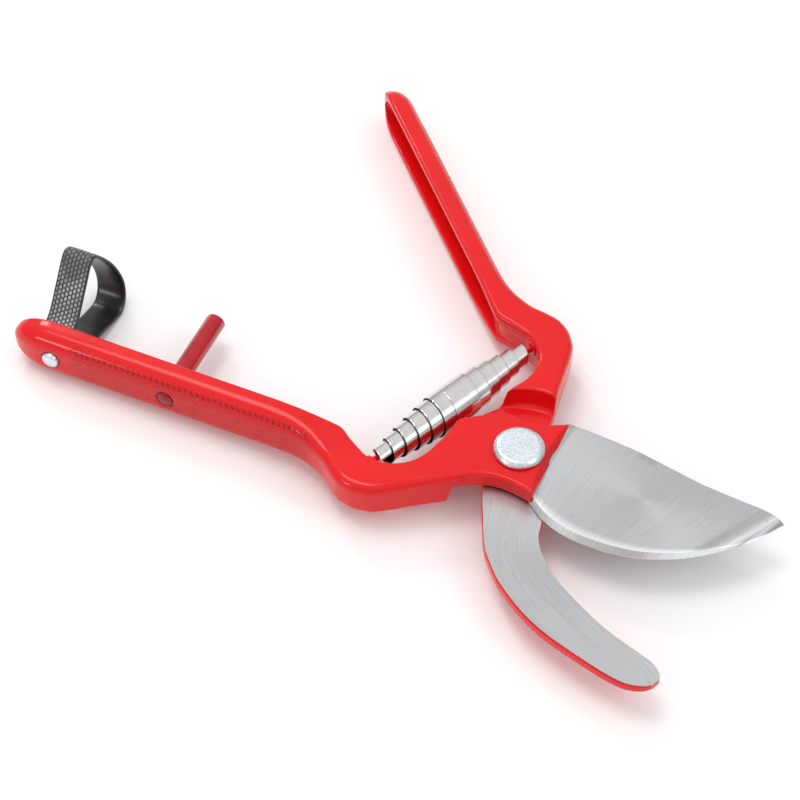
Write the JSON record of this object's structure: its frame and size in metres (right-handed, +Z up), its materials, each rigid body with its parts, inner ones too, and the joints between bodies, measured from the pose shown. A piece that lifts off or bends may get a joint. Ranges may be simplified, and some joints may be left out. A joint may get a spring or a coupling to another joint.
{
  "type": "bypass pruner",
  "caption": "Hand-held bypass pruner shown open: curved blade over a hook, channel handles, volute spring, stop pin and a closing strap loop.",
  "frame": {"origin": "centre of the flat end of the pivot bolt, on the pivot axis", "axes": "+X from the pivot towards the blades, halfway between the open handles; +Z up the pivot axis towards the bolt head"},
  "size_m": [0.2013, 0.1426, 0.0257],
  "materials": {
    "ground_steel": "ground",
    "red_paint": "gloss",
    "zinc_plate": "zinc plated",
    "spring_steel": "polished",
    "black_strap": "glossy embossed",
    "pin_paint": "gloss"
  },
  "bodies": {
    "blade_half": {"cutting_blade": "ground_steel", "blade_handle": "red_paint", "pivot_bolt": "zinc_plate", "pivot_washer": "zinc_plate", "pivot_nut": "zinc_plate", "volute_spring": "spring_steel", "spring_seat_blade_side": "red_paint", "strap_rivet": "zinc_plate", "strap_rivet_washer": "zinc_plate", "stop_pin": "pin_paint"},
    "hook_half": {"hook_blade": "ground_steel", "hook_handle": "red_paint", "spring_seat_hook_side": "red_paint"},
    "strap": {"closing_strap": "black_strap"}
  },
  "joints": [
    {"name": "pivot", "type": "hinge", "parent": "blade_half", "child": "hook_half", "pos_m": [0, 0, 0.0105], "axis": [0, 0, 1], "range_deg": [0, 49], "stiffness_Nm_per_rad": 1.5, "springref_deg": -5.73, "deforming": ["volute_spring", "closing_strap"]},
    {"name": "strap_swing", "type": "hinge", "parent": "blade_half", "child": "strap", "pos_m": [-0.1132, -0.0663, 0.0105], "axis": [0, 0, 1], "range_deg": [-30, 30], "stiffness_Nm_per_rad": 0.01, "deforming": ["closing_strap"]}
  ]
}
